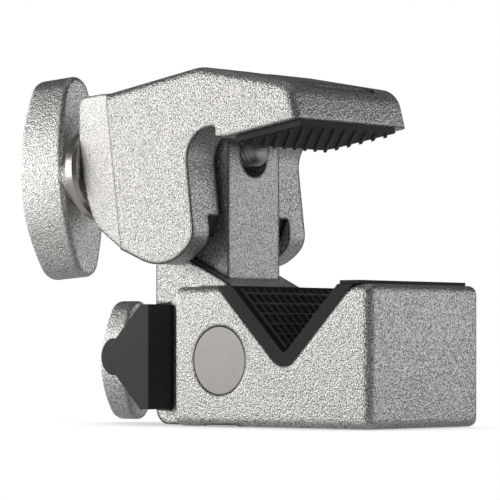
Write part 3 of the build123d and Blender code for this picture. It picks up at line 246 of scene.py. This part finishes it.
def spun_metal(name, tone, rough, warmth, centre):
    """Satin disc with faint smears round its centre and painted shade along its rim."""
    n = Nodes(name)
    coords = n.add("ShaderNodeTexCoord").outputs["Object"]
    rounded, edges = n.edge(0.0003)
    shift = n.add("ShaderNodeVectorMath", operation="SUBTRACT")
    n.set(shift, Vector=coords)
    shift.inputs[1].default_value = centre
    split = n.add("ShaderNodeSeparateXYZ")
    n.set(split, Vector=shift.outputs[0])
    angle = n.math("ARCTAN2", split.outputs["Z"], split.outputs["X"])
    rays = n.add("ShaderNodeCombineXYZ")
    n.set(rays, X=angle)
    fan = n.noise(rays.outputs[0], 1.6, 3.0, 0.6)
    cloud = n.noise(coords, 260.0, 4.0, 0.6)
    fine = n.noise(coords, 2200.0, 2.0)
    color = n.ramp(fan, 0.3, 0.7, grey(tone * 0.9, warmth), grey(tone * 1.06, warmth))
    smear = n.ramp(cloud, 0.35, 0.65, grey(tone * 0.88, warmth), grey(tone * 1.1, warmth))
    color = n.mix(0.6, color, smear)
    # Painted shade: the rim is darkened, standing for the dark gap round the button
    color = n.mix(n.ramp(edges, 0.01, 0.12), color, grey(tone * 0.12, warmth))
    roughness = n.math("ADD", rough, n.math("MULTIPLY", cloud, 0.16))
    return n.finish(color, 0.9, roughness, n.bump(fine, 0.00002, 0.5, rounded))


CAST = cast_metal("cast_alloy", 0.8, 2900.0, 0.00022, 0.0015, rough=0.36)
# The jaw's thin dark crease line is painted shade
JAW_CAST = cast_metal("jaw_alloy", 0.8, 2900.0, 0.00022, 0.0015, rough=0.36,
                      crease_shade=((-0.0361, 0.0, 0.078), (0.991, 0.0, 0.134), 0.0002))
HANDLE = cast_metal("handle_alloy", 0.82, 3300.0, 0.00014, 0.0012, rough=0.34)
RUBBER = rubber("black_rubber", 0.024)
# Lighter copy of the liner's black rubber for the grid ribs: painted highlight on the raised ribs
GRID_RUBBER_LIT = rubber("grid_rubber_painted_highlight", 0.2)
PAD_RUBBER = rubber("pad_rubber", 0.04)
DARK_PLASTIC = plastic("dark_plastic", 0.042, 0.42)
GREY_PLASTIC = plastic("grey_plastic", 0.1, 0.45)
BLACK_STEEL = turned_metal("black_steel", 0.16, 0.3, 0.0, "X")
ZINC_STEEL = turned_metal("zinc_steel", 0.6, 0.28, 0.01, "X")
SPRING_WIRE = turned_metal("spring_wire", 0.38, 0.3, 0.0, "Y")
NICKEL = turned_metal("nickel", 0.82, 0.2, 0.05, "X", scratch=0.12)
BRASS = turned_metal("brass", 0.6, 0.3, 0.25, "X")
BUTTON = spun_metal("button_alloy", 0.4, 0.34, 0.025, (0.0, 0.0, LOCK_HEIGHT * MM))

NODE_LOOKS = {
    "lower_jaw_body": CAST, "moving_jaw": JAW_CAST, "v_liner": RUBBER, "upper_pad": PAD_RUBBER,
    "cross_nut": ZINC_STEEL, "pivot_bolt": BLACK_STEEL, "pivot_washers": GREY_PLASTIC,
    "spring_cup": GREY_PLASTIC, "jaw_spring": SPRING_WIRE, "thrust_ring": NICKEL,
    "friction_washer": ZINC_STEEL, "clamp_screw": ZINC_STEEL, "main_handle": HANDLE,
    "handle_screw": BLACK_STEEL, "lock_tip": BRASS, "lock_washer": ZINC_STEEL,
    "lock_screw": BLACK_STEEL, "lock_knob": HANDLE, "lock_knob_screw": BLACK_STEEL,
    "wedge_insert": DARK_PLASTIC, "safety_button": BUTTON, "button_spring": SPRING_WIRE,
    "button_stop_pin": ZINC_STEEL, "catch_lever": ZINC_STEEL, "catch_lever_pin": ZINC_STEEL,
    "catch_spring": SPRING_WIRE, "catch_cover": ZINC_STEEL, "cover_screws": BLACK_STEEL,
}


SHARP_ANGLE = radians(30)
WELD_DISTANCE = 1e-6


def smooth_group(angle):
    """Node group that shades smooth across every edge flatter than an angle."""
    group = bpy.data.node_groups.new("smooth_by_angle", "GeometryNodeTree")
    group.interface.new_socket("Geometry", in_out="INPUT", socket_type="NodeSocketGeometry")
    group.interface.new_socket("Geometry", in_out="OUTPUT", socket_type="NodeSocketGeometry")
    start = group.nodes.new("NodeGroupInput")
    end = group.nodes.new("NodeGroupOutput")
    faces = group.nodes.new("GeometryNodeSetShadeSmooth")
    faces.domain = "FACE"
    faces.inputs["Shade Smooth"].default_value = True
    edges = group.nodes.new("GeometryNodeSetShadeSmooth")
    edges.domain = "EDGE"
    turn = group.nodes.new("GeometryNodeInputMeshEdgeAngle")
    compare = group.nodes.new("FunctionNodeCompare")
    compare.operation = "LESS_THAN"
    compare.inputs[1].default_value = angle
    group.links.new(turn.outputs["Unsigned Angle"], compare.inputs[0])
    group.links.new(compare.outputs[0], edges.inputs["Shade Smooth"])
    group.links.new(start.outputs[0], faces.inputs["Geometry"])
    group.links.new(faces.outputs[0], edges.inputs["Geometry"])
    group.links.new(edges.outputs[0], end.inputs[0])
    return group


# The weld joins the CAD faces' shared corners, so that the shading can run across them
smoothing = smooth_group(SHARP_ANGLE)
for node_name, look in NODE_LOOKS.items():
    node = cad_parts[node_name]
    node.data.materials.clear()
    node.data.materials.append(look)
    node.modifiers.new("weld", "WELD").merge_threshold = WELD_DISTANCE
    node.modifiers.new("smooth", "NODES").node_group = smoothing


# ---- Added pieces ----------------------------------------------------------------------------
def make_piece(name, points, faces, look, body, slot, smooth=True):
    """Mesh piece with outward faces that rides on a body."""
    mesh = bpy.data.meshes.new(name)
    mesh.from_pydata(points, [], faces)
    solid = bmesh.new()
    solid.from_mesh(mesh)
    bmesh.ops.recalc_face_normals(solid, faces=solid.faces)
    solid.to_mesh(mesh)
    solid.free()
    mesh.polygons.foreach_set("use_smooth", [smooth] * len(mesh.polygons))
    mesh.materials.append(look)
    piece = bpy.data.objects.new(name, mesh)
    bpy.context.scene.collection.objects.link(piece)
    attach(piece, body)
    return piece


def tube_faces(rings, around):
    """Faces of a tube whose points come ring by ring, with a cap on both ends."""
    faces = []
    for ring in range(rings - 1):
        for step in range(around):
            a = ring * around + step
            b = ring * around + (step + 1) % around
            faces.append((a, b, b + around, a + around))
    faces.append(tuple(reversed(range(around))))
    faces.append(tuple(range((rings - 1) * around, rings * around)))
    return faces


def thread(name, node, origin, along, up, length, chamfer, look, body, slot):
    """Right-hand thread along a line, with chamfered ends, that stands for a CAD rod."""
    around = 40
    rows_per_turn = 8
    flank = 1.25
    side = along.cross(up)
    rows = int(length / SCREW_PITCH * rows_per_turn)
    points = []
    for row in range(rows + 1):
        distance = length * row / rows
        limit = SCREW_RADIUS - max(0.0, chamfer - min(distance, length - distance))
        for step in range(around):
            angle = 2 * pi * step / around
            phase = (distance / SCREW_PITCH - step / around) % 1.0
            ridge = min(1.0, flank * abs(2 * phase - 1))
            reach = min(limit, SCREW_RADIUS - THREAD_DEPTH * (1 - ridge))
            offset = up * (reach * cos(angle)) + side * (reach * sin(angle))
            points.append((origin + along * distance + offset) * MM)
    piece = make_piece(name, points, tube_faces(rows + 1, around), look, body, slot)
    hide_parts(node)


line = Vector((-cos(SCREW_TILT), 0, -sin(SCREW_TILT)))
line_up = Vector((-sin(SCREW_TILT), 0, cos(SCREW_TILT)))
foot = Vector(PIVOT) + line_up * SCREW_ABOVE_PIVOT
thread("clamp_screw_thread", "clamp_screw", origin=foot - line * SCREW_FRONT, along=line,
       up=line_up, length=SCREW_FRONT + SCREW_BACK, chamfer=1.2, look=ZINC_STEEL, body="screw",
       slot="zinc_steel")
thread("lock_screw_thread", "lock_screw", origin=Vector((LOCK_FRONT, 0, LOCK_HEIGHT)),
       along=Vector((-1, 0, 0)), up=Vector((0, 0, 1)), length=LOCK_FRONT - LOCK_BACK,
       chamfer=0.8, look=BLACK_STEEL, body="lock", slot="black_steel")


def coil(name, node, start, along, length, radius, wire, turns):
    """Compression spring along Y or Z, with blunt ends, that stands for a CAD spring."""
    around = 10
    steps = 28 * turns
    across = Vector((1, 0, 0))
    other = along.cross(across)
    points = []
    for step in range(steps + 1):
        angle = 2 * pi * turns * step / steps
        out = across * cos(angle) + other * sin(angle)
        centre = start + along * (length * step / steps) + out * radius
        for corner in range(around):
            turn = 2 * pi * corner / around
            offset = out * (wire * cos(turn)) + along * (wire * sin(turn))
            points.append((centre + offset) * MM)
    piece = make_piece(name, points, tube_faces(steps + 1, around), SPRING_WIRE, "clamp_body",
                       "spring_wire")
    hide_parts(node)
    return piece


# Springs of the button and the catch lever, each with a mesh of its own; in the clamp they
# shorten as the button is pressed and the catch lever goes down, but here they keep one length
button_coil = coil("button_spring_coil", "button_spring", start=Vector((0, -16.6, LOCK_HEIGHT)),
                   along=Vector((0, 1, 0)), length=5.2, radius=4.2, wire=0.35, turns=4)
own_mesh(button_coil)
catch_coil = coil("catch_spring_coil", "catch_spring", start=Vector((0, -7.4, 1.2)),
                  along=Vector((0, 0, 1)), length=1.9, radius=0.9, wire=0.15, turns=3)
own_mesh(catch_coil)


def box_bars(bars):
    """Points and faces of tapered bars, given as (start, end, across, up) with half widths."""
    crest = 0.55
    points, faces = [], []
    for start, end, across, up in bars:
        base = len(points)
        for spot in (start, end):
            for side, rise in ((-1, 0), (1, 0), (crest, 1), (-crest, 1)):
                points.append((spot + across * side + up * rise) * MM)
        for a, b in ((0, 1), (1, 2), (2, 3), (3, 0)):
            faces.append((base + a, base + b, base + 4 + b, base + 4 + a))
        faces.append((base + 3, base + 2, base + 1, base))
        faces.append((base + 4, base + 5, base + 6, base + 7))
    return points, faces


# Raised grid on both inner slopes of the liner, in millimetres
GRID_PITCH_ACROSS = 2.55
GRID_PITCH_DOWN = 3.3
GRID_HALF_LENGTH = 18.0
GRID_HEIGHT = 0.5
GRID_ROW_HEIGHT = GRID_HEIGHT * 0.96
GRID_HALF_THICKNESS = 0.22
GRID_SUNK = 0.05
GRID_TOP_MARGIN = 1.2
GRID_FOOT_MARGIN = 1.6
GRID_FIRST_ROW = 2.6
GRID_ROWS_MARGIN = 4.0
slope_top = V_DEPTH - LINER_THICKNESS * 2**0.5
slope_length = slope_top * 2**0.5
columns = int(2 * GRID_HALF_LENGTH / GRID_PITCH_ACROSS)
rows = int((slope_length - GRID_ROWS_MARGIN) / GRID_PITCH_DOWN) + 1
half_row = Vector((0, GRID_HALF_LENGTH, 0))
bars = []
for way in (-1, 1):
    down = Vector((-way, 0, -1)).normalized()
    outward = Vector((-way, 0, 1)).normalized()
    top = Vector((V_CENTRE + way * slope_top, 0, BLOCK_HEIGHT)) - outward * GRID_SUNK
    for column in range(columns + 1):
        head = top + Vector((0, (column - columns / 2) * GRID_PITCH_ACROSS, 0))
        start = head + down * GRID_TOP_MARGIN
        end = head + down * (slope_length - GRID_FOOT_MARGIN)
        bars.append((start, end, Vector((0, GRID_HALF_THICKNESS, 0)), outward * GRID_HEIGHT))
    for row in range(rows):
        spot = top + down * (GRID_FIRST_ROW + row * GRID_PITCH_DOWN)
        bars.append((spot - half_row, spot + half_row, down * GRID_HALF_THICKNESS,
                     outward * GRID_ROW_HEIGHT))
# The grid bars wear the lighter rubber, a painted highlight on the ribs
make_piece("liner_grid", *box_bars(bars), GRID_RUBBER_LIT, "clamp_body", "black_rubber", smooth=False)

# ---- Stage -----------------------------------------------------------------------------------
FLOOR_SIZE = 6.0
FLOOR_DROP = 0.0002
FLOOR_GLOW = 0.08
SHADOW_REACH = 0.03
floor_look = Nodes("floor")
floor_coords = floor_look.add("ShaderNodeTexCoord").outputs["Object"]
floor_tone = floor_look.ramp(floor_look.noise(floor_coords, 2.0), 0.3, 0.7, grey(0.86), grey(0.9))
floor_bump = floor_look.bump(floor_look.noise(floor_coords, 400.0), 0.0001, 0.1)
shadow = floor_look.add("ShaderNodeAmbientOcclusion", samples=8)
floor_look.set(shadow, Distance=SHADOW_REACH)
glow = floor_look.add("ShaderNodeEmission")
shade = floor_look.ramp(shadow.outputs["AO"], 0.25, 0.8, grey(0.62), grey(1.0))
floor_look.set(glow, Color=shade, Strength=1.0)
matt = floor_look.add("ShaderNodeBsdfPrincipled")
floor_look.set(matt, Base_Color=floor_tone, Roughness=0.7, Normal=floor_bump,
               Emission_Color=grey(1.0), Emission_Strength=FLOOR_GLOW)
floor_paths = floor_look.add("ShaderNodeLightPath")
floor_blend = floor_look.add("ShaderNodeMixShader")
floor_look.tree.links.new(floor_paths.outputs["Is Camera Ray"], floor_blend.inputs[0])
floor_look.tree.links.new(matt.outputs[0], floor_blend.inputs[1])
floor_look.tree.links.new(glow.outputs[0], floor_blend.inputs[2])
floor_look.tree.links.new(floor_blend.outputs[0], floor_look.out.inputs["Surface"])
bpy.ops.mesh.primitive_plane_add(size=FLOOR_SIZE, location=(0, 0, -FLOOR_DROP))
floor = bpy.context.object
floor.name = "floor"
floor.data.materials.append(floor_look.material)


def area_light(name, place, target, size, power, color=(1, 1, 1)):
    data = bpy.data.lights.new(name, "AREA")
    data.shape = "RECTANGLE"
    data.size, data.size_y = size
    data.energy = power
    data.color = color
    light = bpy.data.objects.new(name, data)
    light.location = place
    light.rotation_euler = (Vector(target) - Vector(place)).to_track_quat("-Z", "Y").to_euler()
    bpy.context.scene.collection.objects.link(light)
    return light


# Level softboxes, placed where the clamp's upright faces mirror them to the camera, and a weak
# one overhead
middle = (0.0, 0.0, 0.04)
area_light("key", (-0.66, -0.75, 0.1), middle, (1.0, 0.6), 4.3, (1.0, 0.985, 0.96))
area_light("side", (-1.05, 0.12, 0.1), middle, (0.9, 0.6), 3.7, (1.0, 0.985, 0.97))
area_light("fill", (0.72, 0.7, 0.08), middle, (1.0, 0.6), 2.2, (0.99, 0.99, 1.0))
area_light("top", (0.0, 0.0, 0.9), middle, (0.9, 0.9), 0.6)

# The backdrop is seen white, and gives the metal only a faint light
SEEN_STRENGTH = 1.0
LIT_STRENGTH = 0.07
world = bpy.data.worlds.new("studio")
bpy.context.scene.world = world
world.use_nodes = True
sky = world.node_tree
sky.nodes.clear()
world_out = sky.nodes.new("ShaderNodeOutputWorld")
seen = sky.nodes.new("ShaderNodeBackground")
seen.inputs["Color"].default_value = (1, 1, 1, 1)
seen.inputs["Strength"].default_value = SEEN_STRENGTH
lit = sky.nodes.new("ShaderNodeBackground")
lit.inputs["Color"].default_value = (0.9, 0.9, 0.92, 1)
lit.inputs["Strength"].default_value = LIT_STRENGTH
paths = sky.nodes.new("ShaderNodeLightPath")
blend = sky.nodes.new("ShaderNodeMixShader")
sky.links.new(paths.outputs["Is Camera Ray"], blend.inputs[0])
sky.links.new(lit.outputs[0], blend.inputs[1])
sky.links.new(seen.outputs[0], blend.inputs[2])
sky.links.new(blend.outputs[0], world_out.inputs["Surface"])

# Camera low and level, looking at the clamp from its near front corner
CAMERA_PLACE = (0.4511, -0.5270, 0.01743)
CAMERA_HEADING = radians(41.07)
CAMERA_LENS = 214.7
CAMERA_RISE = 0.2
camera_data = bpy.data.cameras.new("camera")
camera_data.sensor_width = 36.0
camera_data.lens = CAMERA_LENS
camera_data.shift_y = CAMERA_RISE
camera = bpy.data.objects.new("camera", camera_data)
camera.location = CAMERA_PLACE
camera.rotation_euler = (radians(90), 0, CAMERA_HEADING)
bpy.context.scene.collection.objects.link(camera)
bpy.context.scene.camera = camera
bpy.context.scene.view_settings.view_transform = "Standard"
bpy.context.scene.view_settings.look = "None"
